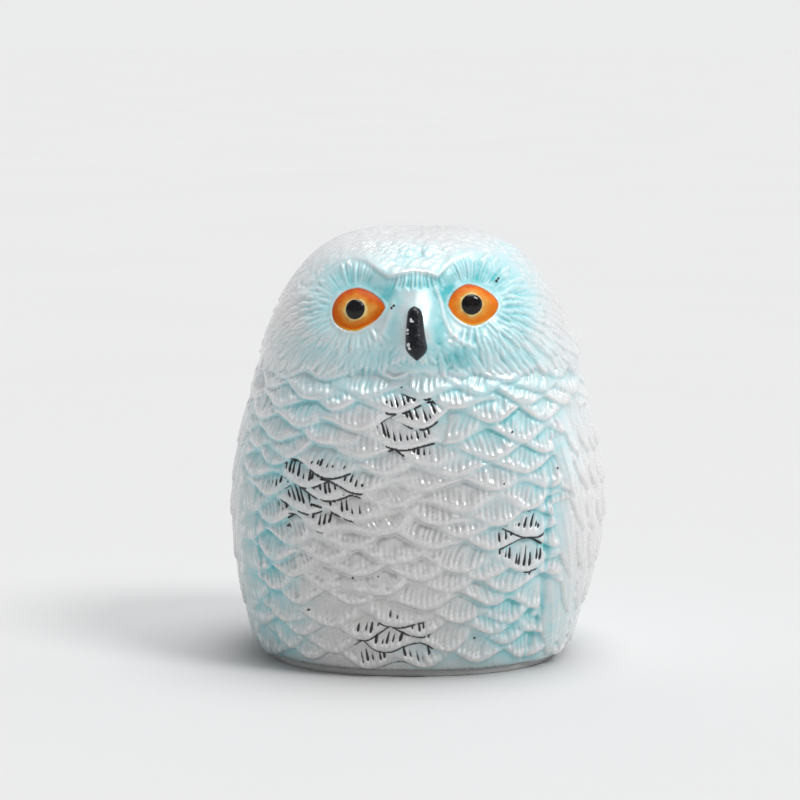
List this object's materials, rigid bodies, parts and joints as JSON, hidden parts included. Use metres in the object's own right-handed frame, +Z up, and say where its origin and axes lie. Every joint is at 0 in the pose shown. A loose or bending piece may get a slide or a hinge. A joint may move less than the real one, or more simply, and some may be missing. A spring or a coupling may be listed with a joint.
{
  "type": "owl figurine",
  "caption": "Free-standing rounded owl figurine in pearly white resin with carved feathers, domed orange eyes, a black beak and a felted base.",
  "frame": {"origin": "middle of the felt's underside, on the surface that the owl stands on", "axes": "+Z up, the owl looks along -Y, its own left side is at +X"},
  "size_m": [0.0864, 0.0777, 0.099],
  "materials": {
    "pearl_resin": "cast polyresin, pearl white lacquer with pale turquoise airbrushing and a few dark grey feather marks",
    "fibreboard": "pressed fibreboard, raw",
    "felt": "die-cut needled felt, self-adhesive",
    "orange_iris": "gloss enamel, deeper orange at the rim and yellow round the pupil",
    "black_pupil": "polished black bead",
    "black_beak": "gloss black enamel, a little worn along one edge"
  },
  "bodies": {
    "root": {"body_casting": "pearl_resin", "base_plate": "fibreboard", "felt_pad": "felt", "right_eye": "orange_iris", "left_eye": "orange_iris", "right_pupil": "black_pupil", "left_pupil": "black_pupil", "beak": "black_beak"}
  },
  "joints": []
}
